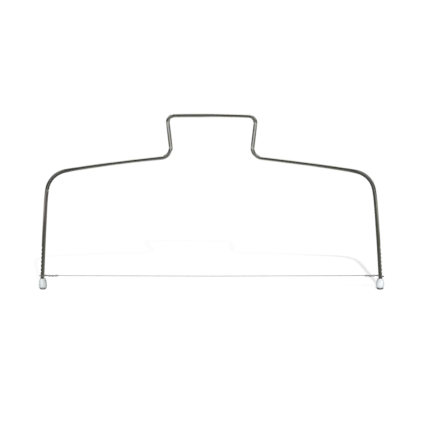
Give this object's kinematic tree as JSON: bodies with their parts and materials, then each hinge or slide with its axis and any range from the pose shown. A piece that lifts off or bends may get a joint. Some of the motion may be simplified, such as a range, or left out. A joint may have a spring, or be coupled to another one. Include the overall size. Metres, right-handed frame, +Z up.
{
  "type": "cake leveler",
  "caption": "Bent steel rod cake leveler with a grip hump, notched legs, soft feet and a height-set cutting wire between the legs.",
  "frame": {"origin": "on the table, midway between the soles of the two feet", "axes": "+X along the cutting wire, +Y through the frame's thickness away from the picture's viewer, +Z up"},
  "size_m": [0.3058, 0.0072, 0.1587],
  "materials": {
    "rod_steel": "polished drawn rod",
    "wire_steel": "bright drawn wire",
    "foot_plastic": "milky soft plastic"
  },
  "bodies": {
    "frame": {"frame": "rod_steel", "left_foot": "foot_plastic", "right_foot": "foot_plastic"},
    "wire": {"cutting_wire": "wire_steel"}
  },
  "joints": [
    {"name": "wire_height", "type": "slide", "parent": "frame", "child": "wire", "axis": [0, 0, 1], "range_m": [0, 0.0252]}
  ]
}
